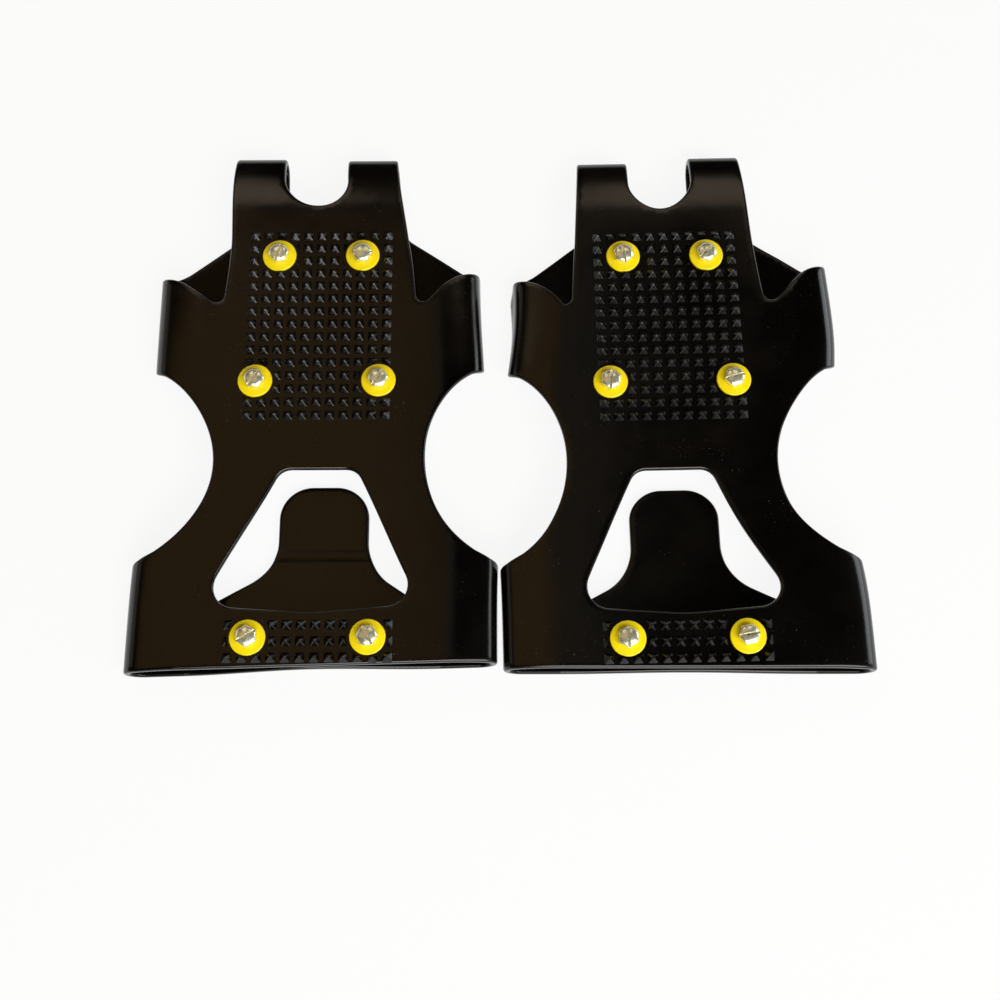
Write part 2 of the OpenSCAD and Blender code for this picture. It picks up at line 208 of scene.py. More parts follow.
# Flat face inside the loops: rows of points a spacing apart, every other row half a spacing over, kept clear
# of the edges and joined by a Delaunay mesh that holds to the loops
def filledLoops(loops):
    spacing = rubberSheet["spacing"]
    blockSize = 1500  # points compared with the border at a time
    wholeHull, tolerance = 0, 1e-6  # settings of the Delaunay mesh
    low, high = loops[0].min(0), loops[0].max(0)
    across = np.arange(low[0], high[0], spacing)
    along = np.arange(low[1], high[1], spacing * rubberSheet["rowStep"])
    grid = np.stack(np.meshgrid(across, along), axis=-1)
    grid[1::2, :, 0] += spacing / 2
    grid = grid.reshape(-1, 2)
    grid = grid[insideLoops(grid, loops)]
    border = np.concatenate(loops).astype(np.float32)
    blocks = np.array_split(grid, max(1, len(grid) // blockSize))
    near = np.concatenate([nearestSquare(block, border) for block in blocks])
    grid = grid[near > (rubberSheet["rimClear"] * spacing) ** 2]
    flat = np.concatenate(loops + [grid])
    counts = [len(loop) for loop in loops]
    starts = np.cumsum([0] + counts)
    rings = [s + np.column_stack([np.arange(n), np.roll(np.arange(n), -1)]) for n, s in zip(counts, starts)]
    solved = delaunay_2d_cdt(flat.tolist(), np.concatenate(rings).tolist(), [], wholeHull, tolerance)
    source = np.array([owners[0] for owners in solved[3]])
    triangles = source[np.array(solved[2])]
    triangles = triangles[insideLoops(flat[triangles].mean(axis=1), loops)]
    a, b, c = (flat[triangles[:, k]] for k in range(3))
    flipped = (b - a)[:, 0] * (c - a)[:, 1] < (b - a)[:, 1] * (c - a)[:, 0]
    triangles[flipped] = triangles[flipped][:, ::-1]
    return flat, triangles, starts


# Sheet with rounded edges: two flat faces a thickness apart, joined by a profile of two quarter rounds that
# is carried along every loop. Gives flat places, depths under the outer face, triangles and quads.
def roundedSheet(outlines, thickness):
    rim, steps = rubberSheet["edgeRadius"], rubberSheet["edgeSteps"]
    loops = [tracedLoop(corners, rim, rubberSheet["spacing"]) for corners in outlines]
    angle = np.linspace(0, math.pi / 2, steps + 1)
    inset = np.concatenate([rim * (1 - np.sin(angle)), rim * (1 - np.cos(angle))])
    depth = np.concatenate([rim * (1 - np.cos(angle)), thickness - rim + rim * np.sin(angle)])
    rows = len(inset) - 2  # rows of points between the two faces
    flat, triangles, starts = filledLoops([points + rim * inward for points, inward, kind in loops])
    total = len(flat)
    places, depths = [flat, flat], [np.zeros(total), np.full(total, thickness)]
    faces, quads, base = [triangles, triangles[:, ::-1] + total], [], 2 * total
    for (points, inward, kind), start in zip(loops, starts):
        count = len(points)
        between = points[None] + inset[1:-1, None, None] * inward[None]
        places.append(between.reshape(-1, 2))
        depths.append(np.repeat(depth[1:-1], count))
        outer = start + np.arange(count)
        inner = base + np.arange(rows * count).reshape(rows, count)
        index = np.concatenate([outer[None], inner, outer[None] + total])
        free = np.where(np.isin(kind, (freeEdge, seamEnd)))[0]
        free = free[np.isin(kind[(free + 1) % count], (freeEdge, seamStart))]
        ahead = (free + 1) % count
        corners = [index[:-1, free], index[1:, free], index[1:, ahead], index[:-1, ahead]]
        quads.append(np.stack(corners, axis=-1).reshape(-1, 4))
        base += rows * count
    return np.concatenate(places), np.concatenate(depths), np.concatenate(faces), np.concatenate(quads)


# Mesh from arrays of triangles and quads; doubles at the seams are merged and open cuts are closed
def rubberObject(name, points, triangles, quads, footSide):
    mesh = bpy.data.meshes.new(name)
    mesh.from_pydata(points.tolist(), [], triangles.tolist() + quads.tolist())
    mesh.attributes.new("footSide", "FLOAT", "POINT").data.foreach_set("value", footSide.astype(np.float32))
    work = bmesh.new()
    work.from_mesh(mesh)
    bmesh.ops.delete(work, geom=[v for v in work.verts if not v.link_faces], context="VERTS")
    bmesh.ops.remove_doubles(work, verts=work.verts, dist=rubberSheet["seamMerge"])
    bmesh.ops.holes_fill(work, edges=[e for e in work.edges if e.is_boundary], sides=0)
    work.to_mesh(mesh)
    work.free()
    mesh.shade_smooth()
    mesh.set_sharp_from_angle(angle=math.radians(rubberSheet["sharpAngle"]))
    return added(name, mesh)


# A corner is x, y and radius, and a fourth value if the edge that starts there is a seam
def seamMark(corner):
    return tuple(corner[3:])


# The shoelace sum tells which way a loop turns; reversing it moves each seam mark to its edge's other end
def turnedLeft(loop, left=True):
    area = sum(a[0] * b[1] - b[0] * a[1] for a, b in zip(loop, loop[1:] + loop[:1]))
    if (area > 0) == left:
        return loop
    back = loop[::-1]
    return [(*corner[:3], *seamMark(after)) for corner, after in zip(back, back[1:] + back[:1])]


# Right-hand corners followed by their mirror images, as one loop turning to the left; a last corner on the
# centre line is used once
def bothSides(corners):
    marks = [()] + [seamMark(corner) for corner in corners[:-1]]
    mirrored = [(-x, y, radius, *mark) for (x, y, radius, *rest), mark in zip(corners, marks)]
    if corners[-1][0] == 0:
        mirrored = mirrored[:-1]
    return turnedLeft(list(corners) + mirrored[::-1])


soleOutline = {  # groups of three are x, y and the corner's radius
    "notchHalf": 12.0, "notchY": 50.8, "notchRadius": 11.7,
    "strapRootHalf": 33.5, "strapRootY": 36.0, "strapRootRadius": 30.0,
    "strapToeHalf": 31.0, "strapToeRadius": 60.0, "toeY": 73.85,
    "seamY": 57.0,  # where a strap runs into the vamp band on the ground side
    "crotch": (36.2, 8.4, 3.0),
    "wingBend": (53.5, 20.3, 20.0), "wingTipY": 22.8, "wingTipRadius": 10.0,
    "wingSideY": 27.5, "wingSideRadius": 12.0, "wingBackY": -15.6, "wingBackRadius": 5.0,
    "vampFrontY": 42.5, "vampFrontRadius": 3.0, "vampNotchY": 44.0,
    "vampBackY": 2.0, "vampBackBend": (40.0, -8.5, 60.0),
    "waist": (2.85, -52.0, 38.5), "waistSlope": 32.0, "waistRun": 57.0, "waistEndRadius": 4.0,
    "rearWaistShare": 0.96,  # rise of the waist's rear half, as a share of the front half's
    "heelTip": (62.5, -87.2, 5.0), "heelSideY": -88.7, "heelSideRadius": 5.0, "heelBackY": -127.0,
    "capX": 45.0, "capY": -103.0,  # where the heel band takes over from the fold
    "capLead": 7.0, "capRadius": 10.0,
    "studHole": 3.26, "studHoleSides": 16,
    "outermost": 99.0,  # past every fold's reach, so it stands for the fold's outermost line
}


# Half width over the straps: a straight taper from root to toe
def strapHalf(y):
    shape = soleOutline
    widening, length = shape["strapToeHalf"] - shape["strapRootHalf"], shape["toeY"] - shape["strapRootY"]
    return shape["strapRootHalf"] + (y - shape["strapRootY"]) * widening / length


# Unrolled outline of the sole with its wings, straps and vamp band, as the sheet would lie if cut open
def soleCorners():
    shape, sheet = soleOutline, rubberSheet
    fore = partial(unrolled, fold=sheet["foreFold"], bend=sheet["foldBend"])
    heel = partial(unrolled, fold=sheet["heelFold"], bend=sheet["foldBend"])
    toe = partial(unrolled, fold=sheet["toeFold"], bend=sheet["toeBend"])
    notch, seamY, outermost = shape["notchHalf"], shape["seamY"], shape["outermost"]
    wingX, wingY, wingRadius = shape["wingBend"]
    vampX, vampY, vampRadius = shape["vampBackBend"]
    heelX, heelY, heelRadius = shape["heelTip"]
    run, waistY, endRadius = shape["waistRun"], shape["waist"][1], shape["waistEndRadius"]
    waistRise = (run - shape["waist"][0]) * math.tan(math.radians(shape["waistSlope"]))
    return bothSides([
        (notch, shape["notchY"], shape["notchRadius"]),
        (notch, toe(seamY, under=True), 0, "seam"),
        (strapHalf(seamY), toe(seamY, under=True), 0),
        (shape["strapToeHalf"], toe(outermost), shape["strapToeRadius"]),
        (shape["strapRootHalf"], shape["strapRootY"], shape["strapRootRadius"]),
        shape["crotch"],
        (fore(wingX), wingY, wingRadius),
        (fore(outermost), shape["wingTipY"], shape["wingTipRadius"]),
        (fore(wingX, under=True), shape["wingSideY"], shape["wingSideRadius"]),
        (fore(strapHalf(shape["vampFrontY"]), under=True), shape["vampFrontY"], shape["vampFrontRadius"]),
        (fore(strapHalf(seamY), under=True), seamY, 0, "seam"),
        (fore(notch, under=True), seamY, 0),
        (fore(notch, under=True), shape["vampNotchY"], shape["notchRadius"]),
        (fore(0, under=True), shape["vampNotchY"], 0, "seam"),
        (fore(0, under=True), shape["vampBackY"], 0),
        (fore(vampX, under=True), vampY, vampRadius),
        (fore(outermost), shape["wingBackY"], shape["wingBackRadius"]),
        (run, waistY + waistRise, endRadius),
        shape["waist"],
        (run, waistY - shape["rearWaistShare"] * waistRise, endRadius),
        (heel(heelX), heelY, heelRadius),
        (heel(outermost), shape["heelSideY"], shape["heelSideRadius"]),
        (heel(shape["capX"] + shape["capLead"], under=True), shape["capY"], shape["capRadius"]),
        (heel(shape["capX"], under=True), shape["capY"], 0, "seam"),
        (heel(shape["capX"], under=True), shape["heelBackY"], 0),
    ])


heelOpening = {"frontHalf": 13.4, "frontY": -54.8, "frontRadius": 6.0, "backHalf": 38.5, "backY": -104.5,
               "backRadius": 8.0, "midY": -107.3, "midRadius": 60.0}


# Heel opening: a trapezoid with rounded corners and a bowed rear edge, turning to the right as holes do
def openingCorners():
    hole = heelOpening
    return turnedLeft(bothSides([
        (hole["frontHalf"], hole["frontY"], hole["frontRadius"]),
        (hole["backHalf"], hole["backY"], hole["backRadius"]),
        (0, hole["midY"], hole["midRadius"]),
    ]), left=False)


# Many-sided hole round a stud, turning to the right as holes do
def studHoleCorners(x, y):
    radius, count = soleOutline["studHole"], soleOutline["studHoleSides"]
    angle = -2 * np.pi * np.arange(count) / count
    return [(x + radius * math.cos(a), y + radius * math.sin(a), 0) for a in angle]


lying = {  # how each cleat lies: shifts of its soft parts; pairs are for its left and its right side
    "left": {
        "strapLean": -3.5, "strapReach": (1.2, 0.5), "wings": 0.0, "wingBack": (0.5, 1.0), "notch": 0.0,
        "earAcross": (0.0, -1.8), "earAlong": (0.5, 2.2), "vamp": (1.2, 0.0), "waist": 1.8,
        "legs": (0.0, 0.0), "heel": 0.4, "heelSlant": 0.024, "heelDraw": 1.2, "tab": 2.8, "tabTip": 0.0,
    },
    "right": {
        "strapLean": 0.2, "strapReach": (-0.4, 1.4), "wings": 1.8, "wingBack": (0.8, 2.0), "notch": -1.2,
        "earAcross": (3.5, 0.2), "earAlong": (0.5, 4.4), "vamp": (3.6, 0.4), "waist": -1.6,
        "legs": (0.0, -1.6), "heel": 1.2, "heelSlant": -0.020, "heelDraw": 0.6, "tab": -0.6, "tabTip": -1.0,
    },
}
growth = {  # where a shift sets in, and the distance over which it grows
    "rightShare": (-12.0, 24.0), "outer": (30.0, 15.0), "lifted": (1.0, 6.0),
    "strapLean": (22.0, 50.0), "strapReach": (40.0, 25.0),
    "wing": (36.0, 12.0), "earAcross": (-20.0, 46.0), "earAlong": (2.0, 18.0),
    "vampAcross": (28.0, 8.0), "vampAlong": (15.0, 12.0), "legs": (6.0, 14.0),
    "heel": (68.0, 20.0), "rear": (98.0, 25.0), "tab": (-108.0, 24.0), "tabTip": (-75.0, 15.0),
}
bells = {  # middle and width of the shifts that swell and fade
    "waist": (-58.0, 26.0), "wings": (0.0, 22.0), "wingBack": (-18.0, 9.0), "legs": (-78.0, 16.0),
    "notchAcross": (0.0, 9.0), "notchAlong": (48.0, 8.0),
}


# Smooth step from 0 to 1: three t squared less two t cubed
def eased(t):
    t = np.clip(t, 0, 1)
    return t * t * (3 - 2 * t)


# Smooth step along a named stretch
def grown(name, value):
    start, span = growth[name]
    return eased((value - start) / span)


# Bell curve: e to the minus square of the distance from the middle, in widths
def bell(name, value):
    middle, width = bells[name]
    return np.exp(-((value - middle) / width) ** 2)


# How a cleat lies: straps lean and reach, ears and wings shift, the waist bows and the rear edge slants.
# Each shift is a smooth step or a bell curve along the cleat, times a smooth step across it or up it.
def laid(side, points):
    way = lying[side]
    x, y, z = points.T
    rightShare = grown("rightShare", x)

    def pair(name):
        return way[name][0] + (way[name][1] - way[name][0]) * rightShare

    outer, lifted = grown("outer", np.abs(x)), grown("lifted", z)
    wing = grown("wing", np.abs(x)) * lifted
    vamp = grown("vampAlong", y) * grown("vampAcross", np.abs(x)) * (1 - lifted)
    leg = bell("legs", y) * grown("legs", np.abs(x))
    across = way["strapLean"] * grown("strapLean", y) + way["waist"] * bell("waist", y)
    across += way["wings"] * bell("wings", y) * outer + way["heel"] * grown("heel", -y) * outer
    across += pair("earAcross") * wing * grown("earAcross", y) + pair("vamp") * vamp + pair("legs") * leg
    along = pair("strapReach") * grown("strapReach", y) * (1 - outer)
    along += pair("earAlong") * wing * grown("earAlong", y) + pair("wingBack") * bell("wingBack", y) * outer
    along += way["notch"] * bell("notchAcross", x) * bell("notchAlong", y)
    along += (way["heelSlant"] * x + way["heelDraw"]) * grown("rear", -y)
    return np.column_stack([x + across, y + along, z])


# Rolls the sheet up: the sides bend across and the straps along, and depth goes against the surface's normal
def rolledSheet(flat, depth):
    sheet = rubberSheet
    u, v = flat[:, 0], flat[:, 1]
    fold = np.where(v < sheet["waistY"], sheet["heelFold"], sheet["foreFold"])
    x, heightAcross, turnAcross = bendLine(np.abs(u), fold, sheet["foldBend"])
    onStrap = np.abs(u) < fold
    y, heightAlong, turnAlong = bendLine(np.where(onStrap, v, 0), sheet["toeFold"], sheet["toeBend"])
    y = np.where(onStrap, y, v)
    side = np.sign(u)
    upright = np.cos(turnAcross) * np.cos(turnAlong)
    normal = np.column_stack([side * np.sin(turnAcross), np.sin(turnAlong), upright])
    surface = np.column_stack([side * x, y, heightAcross + heightAlong - sheet["lieHeight"]])
    return surface - depth[:, None] * normal


# Soles: one rounded sheet with the opening and the stud holes, rolled up, then laid and placed for each side
def makeSoles():
    outlines = [soleCorners(), openingCorners()] + [studHoleCorners(*spot) for spot in studPlaces.values()]
    flat, depth, triangles, quads = roundedSheet(outlines, rubberSheet["thickness"])
    points = rolledSheet(flat, depth)
    footSide = depth > rubberSheet["thickness"] / 2
    soles = []
    for side in sides:
        places = placed(side, laid(side, points))
        sole = rubberObject(side + "SoleSheet", places, triangles, quads, footSide)
        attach(sole, "cleats")
        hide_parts(side + "_sole", side + "_vamp_band")
        soles.append(sole)
    print("soles:", len(triangles) + 2 * len(quads), "triangles each")
    return soles


heelBand = {
    "tabHalf": 16.3, "tabTipY": -57.8, "tabRadius": 12.0,
    "bellY": {"left": -88.6, "right": -91.0}, "bellRadius": 18.0,  # where the tab flares into the band
    "capLead": 5.0, "capRadius": 12.0,
    "creaseY": -83.85, "bendHalf": 5.0,
    "ridge": {"left": 0.55, "right": 0.15}, "ridgeWidth": 1.6,  # height and width of the crease
    "rise": {"left": 5.2, "right": 3.4},  # lift of the rear edge between the folds
    "tuck": {"left": 0.2, "right": 0.0},  # how far that edge is drawn forward
    "rearRun": 26.0,  # distance from the rear edge over which both fade
}


# Heel band: a flat sheet on the ground, its rear edge lifted and drawn forward between the folds by smooth
# steps, with a bell-shaped ridge along the crease
def layBand(side, flat, depth):
    band, way = heelBand, lying[side]
    x, y = flat[:, 0], flat[:, 1]
    middle = 1 - eased(np.abs(x) / soleOutline["capX"])
    rear = 1 - eased((y - soleOutline["heelBackY"]) / band["rearRun"])
    ridge = band["ridge"][side] * np.exp(-((y - band["creaseY"]) / band["ridgeWidth"]) ** 2)
    z = rubberSheet["thickness"] - depth + band["rise"][side] * middle * rear + ridge
    drift = way["tab"] * grown("tab", y) + way["heel"] * grown("outer", np.abs(x))
    slant = (way["heelSlant"] * x + way["heelDraw"]) * grown("rear", -y)
    tip = way["tabTip"] * grown("tabTip", y)
    return np.column_stack([x + drift, y + slant + tip + band["tuck"][side] * middle * rear, z])


# Heel bands: a rounded sheet of band and tab for each side, laid on the ground and placed with its cleat
def makeHeelBands():
    band, shape, thickness = heelBand, soleOutline, rubberSheet["thickness"]
    bands = []
    for side in sides:
        outline = bothSides([
            (band["tabHalf"], band["tabTipY"], band["tabRadius"]),
            (band["tabHalf"], band["bellY"][side], band["bellRadius"]),
            (shape["capX"] - band["capLead"], shape["capY"], band["capRadius"]),
            (shape["capX"], shape["capY"], 0, "seam"),
            (shape["capX"], shape["heelBackY"], 0),
        ])
        flat, depth, triangles, quads = roundedSheet([outline], thickness)
        places = placed(side, layBand(side, flat, depth))
        made = rubberObject(side + "HeelBand", places, triangles, quads, np.zeros(len(flat)))
        bendY = band["creaseY"] + np.array([-band["bendHalf"], band["bendHalf"]])
        start, end = placed(side, np.column_stack([np.zeros(2), bendY, np.full(2, thickness)]))
        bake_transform(made)
        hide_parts(side + "_heel_band", side + "_pull_tab")
        bands.append(made)
        print(side, "heel band:", len(triangles) + 2 * len(quads), "triangles")
    return bands


tread = {
    "pitch": 5.0,  # distance between columns
    "base": 3.5, "shoulder": 1.15, "tip": 0.4,  # widths from the root to the worn tip
    "shoulderZ": 1.6, "height": 2.0,
    "ridge": (0.42, 0.26, 0.12),  # how far the corners of those three are cut back
    "sunk": 0.3,  # depth to which a pyramid reaches into the sole
    "clear": 7.5,  # bare circle round each stud
    "least": 0.2,  # a cut pyramid lower than this is left out
    "sharpAngle": 42.0,
    "forefoot": (11, 15, 5.15, 1.7),  # columns, rows, distance between rows, and y of the pad's middle
    "heel": (12, 3, 5.7, -117.3),
}
ringSize, pyramidFaces = 8, 18  # points of a pyramid's ring; two rows of flanks and two caps


# Ring of eight points: a square whose corners are cut back
def cutSquare(half, cut):
    near = half - cut
    return np.array([(half, -near), (half, near), (near, half), (-near, half),
                     (-half, near), (-half, -near), (-near, -half), (near, -half)])


# Pyramids: rings of eight points in the sole, at the shoulder and at the tip, joined by flanks. Points inside
# the bare circle round a stud are pushed out to it and lowered to the pyramid's slope, so the circle cuts it.
def treadPad(side, name):
    columns, rows, rowPitch, centreY = tread[name]
    slope = tread["shoulderZ"] / (tread["base"] - tread["shoulder"]) * 2
    halves = [tread["base"] / 2 + tread["sunk"] / slope, tread["shoulder"] / 2, tread["tip"] / 2]
    template = np.concatenate([cutSquare(half, cut) for half, cut in zip(halves, tread["ridge"])])
    level = np.repeat([-tread["sunk"], tread["shoulderZ"], tread["height"]], ringSize)
    across = (np.arange(columns) - (columns - 1) / 2) * tread["pitch"]
    along = (np.arange(rows) - (rows - 1) / 2) * rowPitch + centreY
    centres = np.stack(np.meshgrid(across, along), axis=-1).reshape(-1, 1, 2)
    places = centres + template
    away = places[:, :, None] - np.array(list(studPlaces.values()))
    gap = np.linalg.norm(away, axis=-1)
    nearest = gap.argmin(axis=-1)
    gap = np.take_along_axis(gap, nearest[..., None], -1)
    away = np.take_along_axis(away, nearest[..., None, None], 2)[:, :, 0]
    pushed = places + away / gap * np.maximum(tread["clear"] - gap, 0)
    offset = np.abs(pushed - centres).max(axis=-1)
    height = np.minimum(level, (tread["base"] / 2 - offset) * slope)
    kept = height.max(axis=1) > tread["least"]
    points = np.concatenate([pushed, rubberSheet["lieHeight"] + height[..., None]], axis=-1)
    ring, after = np.arange(ringSize), np.roll(np.arange(ringSize), -1)
    flanks = np.column_stack([ring, after, after + ringSize, ring + ringSize])
    flanks = np.concatenate([flanks, flanks + ringSize])
    base = 3 * ringSize * np.arange(kept.sum())[:, None]
    caps = np.concatenate([ring + 2 * ringSize + base, ring[::-1] + base])
    faces = (flanks + base[:, None]).reshape(-1, 4).tolist() + caps.tolist()
    mesh = bpy.data.meshes.new(side + name.title() + "Tread")
    mesh.from_pydata(placed(side, points[kept].reshape(-1, 3)).tolist(), [], faces)
    mesh.shade_smooth()
    mesh.set_sharp_from_angle(angle=math.radians(tread["sharpAngle"]))
    pad = added(mesh.name, mesh)
    pad.modifiers.new("evenFlanks", "WEIGHTED_NORMAL").keep_sharp = True
    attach(pad, "cleats")
    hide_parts(side + "_" + name + "_tread")
    return pad


# Tread pads: one at the forefoot and one at the heel of each side
def makeTreads():
    pads = [treadPad(side, name) for side in sides for name in ("forefoot", "heel")]
    print("tread pads:", sum(len(pad.data.polygons) for pad in pads) // pyramidFaces, "pyramids")
    return pads


washer = {
    "bore": 2.06, "outer": 6.3, "thickness": 1.3,
    "seat": 4.0, "fall": 0.3,  # radius of the flat under the head, and the fall from there to the rim
    "rim": 0.45, "rimSteps": 6, "foot": 0.2,  # rounding of the upper edge, and cut of the lower one
    "steps": 64, "sharpAngle": 40.0,
}


# Washer: a profile of radius and height turned round the stud's axis, falling a little from the flat under
# the head to its rounded rim
def washerPiece(side, place):
    disc, steps = washer, washer["steps"]
    bore, outer, top, rim, foot = (disc[key] for key in ("bore", "outer", "thickness", "rim", "foot"))
    turn = np.linspace(0, math.pi / 2, disc["rimSteps"])
    shoulder = top - disc["fall"]
    rounded = np.column_stack([outer - rim * (1 - np.sin(turn)), shoulder - rim * (1 - np.cos(turn))])
    radius, height = np.concatenate([
        [[bore, 0], [bore, top], [disc["seat"], top]], rounded, [[outer, foot], [outer - foot, 0]]]).T
    angle = np.linspace(0, 2 * math.pi, steps, endpoint=False)[:, None]
    level = np.broadcast_to(height, (steps, len(height)))
    rings = np.stack([np.cos(angle) * radius, np.sin(angle) * radius, level], axis=-1)
    points = rings.reshape(-1, 3) + np.array([*studPlaces[place], rubberSheet["lieHeight"]])
    index = np.arange(len(points)).reshape(steps, len(radius))
    following = np.roll(index, -1, 0)
    quads = np.stack([index, np.roll(index, -1, 1), np.roll(following, -1, 1), following], axis=-1)
    name = f"{side}_{place}_washer"
    mesh = bpy.data.meshes.new(name + "_disc")
    mesh.from_pydata(placed(side, points).tolist(), [], quads.reshape(-1, 4).tolist())
    mesh.shade_smooth()
    mesh.set_sharp_from_angle(angle=math.radians(disc["sharpAngle"]))
    made = added(name + "_disc", mesh)
    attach(made, name)
    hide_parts(name)
    return made


steel = {
    "stud": 0.1, "nut": 0.12,  # width of the broken edges
    "edgeSteps": 2, "edgeProfile": 0.5,  # a profile of 0.5 is round
    "flat": 2.55, "chamfer": 38.0, "facets": 24,  # radius of a head's flat top, slope of its turned edge
    "flatAngle": 1.0, "brokenAngle": 45.0, "sharpAngle": 25.0,  # merged faces, broken edges, hard shading
    "merge": 1e-6, "onPlane": 1e-7,  # metres
}


# Turned edge of a head: planes tangent to a cone round the axis cut the corners off, and each cut is closed
def turnedEdge(work, centre, top):
    slope = math.radians(steel["chamfer"])
    for turn in np.linspace(0, 2 * math.pi, steel["facets"], endpoint=False):
        out = Vector((math.cos(turn), math.sin(turn), 0))
        touch = Vector((*centre, top)) + out * steel["flat"] / perMetre
        normal = out * math.sin(slope) + Vector((0, 0, math.cos(slope)))
        everything = work.verts[:] + work.edges[:] + work.faces[:]
        bmesh.ops.bisect_plane(work, geom=everything, dist=steel["onPlane"], plane_co=touch, plane_no=normal,
                               clear_outer=True)
        bmesh.ops.holes_fill(work, edges=[e for e in work.edges if e.is_boundary], sides=0)


# Copy of a CAD piece with its triangles merged back into faces, a stud's head turned, and the edges broken;
# needle-thin faces are removed at the end
def edgedCopy(node, part, body):
    mesh = frame["nodes"][node].data.copy()
    mesh.materials.clear()
    flat, hard = math.radians(steel["flatAngle"]), math.radians(steel["brokenAngle"])
    work = bmesh.new()
    work.from_mesh(mesh)
    bmesh.ops.remove_doubles(work, verts=work.verts, dist=steel["merge"])
    bmesh.ops.dissolve_limit(work, angle_limit=flat, verts=work.verts, edges=work.edges)
    if part == "stud":
        axis = joints[node.removesuffix("stud") + "turn"]
        turnedEdge(work, axis["pos_m"][:2], max(v.co.z for v in work.verts))
    edges = [e for e in work.edges if len(e.link_faces) == 2 and e.calc_face_angle(0) > hard]
    bmesh.ops.bevel(work, geom=edges, offset=steel[part] / perMetre, segments=steel["edgeSteps"],
                    profile=steel["edgeProfile"], affect="EDGES", clamp_overlap=True)
    bmesh.ops.triangulate(work, faces=[face for face in work.faces if len(face.verts) > 4])
    bmesh.ops.remove_doubles(work, verts=work.verts, dist=steel["merge"])
    bmesh.ops.dissolve_degenerate(work, dist=steel["merge"], edges=work.edges)
    work.to_mesh(mesh)
    work.free()
    mesh.shade_smooth()
    mesh.set_sharp_from_angle(angle=math.radians(steel["sharpAngle"]))
    made = added(node + "_edged", mesh)
    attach(made, body)
    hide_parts(node)
    return made


# Wraps a node socket, so that shader maths reads as Python
class Socket:
    def __init__(self, maker, link):
        self.maker, self.link = maker, link

    def math(self, operation, a, b):
        return self.maker.node("ShaderNodeMath", {"operation": operation}, {0: a, 1: b})

    def __add__(self, other):
        return self.math("ADD", self, other)

    def __radd__(self, other):
        return self.math("ADD", other, self)

    def __sub__(self, other):
        return self.math("SUBTRACT", self, other)

    def __rsub__(self, other):
        return self.math("SUBTRACT", other, self)

    def __mul__(self, other):
        return self.math("MULTIPLY", self, other)

    def __rmul__(self, other):
        return self.math("MULTIPLY", other, self)


# The node tree of a material or of the world
class Finish:
    def __init__(self, holder):
        holder.use_nodes = True
        self.tree = holder.node_tree
        self.tree.nodes.clear()

    # Any node: its settings first, then values or links by socket, giving one output
    def node(self, kind, settings=None, sockets=None, output=0):
        made = self.tree.nodes.new(kind)
        for key, value in (settings or {}).items():
            if key == "stops":
                for stop, (position, colour) in zip(made.color_ramp.elements, value):
                    stop.position, stop.color = position, colour
            else:
                setattr(made, key, value)
        for key, value in (sockets or {}).items():
            if isinstance(value, Socket):
                self.tree.links.new(value.link, made.inputs[key])
            else:
                made.inputs[key].default_value = value
        return Socket(self, made.outputs[output]) if len(made.outputs) else None

    # Noise over the piece's own coordinates
    def noise(self, scale, detail, roughness):
        where = self.node("ShaderNodeTexCoord", output="Object")
        return self.node("ShaderNodeTexNoise", {}, {
            "Vector": where, "Scale": scale, "Detail": detail, "Roughness": roughness})

    # Patches of noise: 0 up to the start level, 1 from the stop level
    def patches(self, scale, detail, roughness, start, stop):
        stops = [(start, (0, 0, 0, 1)), (stop, (1, 1, 1, 1))]
        noise = self.noise(scale, detail, roughness)
        return self.node("ShaderNodeValToRGB", {"stops": stops}, {"Fac": noise})

    # Mix of two colours by a factor; inputs 6 and 7 and output 2 are the Mix node's colours
    def mixed(self, factor, a, b):
        return self.node("ShaderNodeMix", {"data_type": "RGBA"}, {0: factor, 6: a, 7: b}, 2)

    # Normal tilted by the slope of a height
    def bump(self, height, strength, distance):
        return self.node("ShaderNodeBump", {}, {"Height": height, "Strength": strength, "Distance": distance})

    # 1 for rays that see the white background: from the camera, off a shiny surface or through a clear one
    def backgroundRays(self):
        seen = self.node("ShaderNodeLightPath", output="Is Camera Ray")
        shiny = self.node("ShaderNodeLightPath", output="Is Glossy Ray")
        through = self.node("ShaderNodeLightPath", output="Is Transmission Ray")
        return seen + shiny + through

    # Ends a material with its shader
    def surface(self, shader):
        self.node("ShaderNodeOutputMaterial", {}, {"Surface": shader})


# A named material and the node tree to fill
def newFinish(name):
    material = bpy.data.materials.new(name)
    return material, Finish(material)


rubberLook = {
    "dark": (0.0009, 0.0007, 0.0005, 1), "worn": (0.0024, 0.0018, 0.0012, 1), "dust": (0.09, 0.085, 0.075, 1),
    "roughness": (0.15, 0.22), "footSpecular": 0.18,  # the side towards the foot is duller
    "wear": {"scale": 38.0, "detail": 4.0, "roughness": 0.5, "start": 0.35, "stop": 0.7},
    "specks": {"scale": 1500.0, "detail": 1.0, "roughness": 0.4, "start": 0.735, "stop": 0.76},
    "drift": {"scale": 60.0, "detail": 2.0, "roughness": 0.5, "start": 0.45, "stop": 0.65},
    "dustShare": 0.35, "dustRoughness": 0.3,
    "swell": {"scale": 45.0, "detail": 2.0, "roughness": 0.5},  # slow waves of the sheet
    "grain": {"scale": 2600.0, "detail": 2.0, "roughness": 0.6}, "grainShare": 0.02,  # its moulded grain
    "relief": {"strength": 0.5, "distance": 0.0004},
}


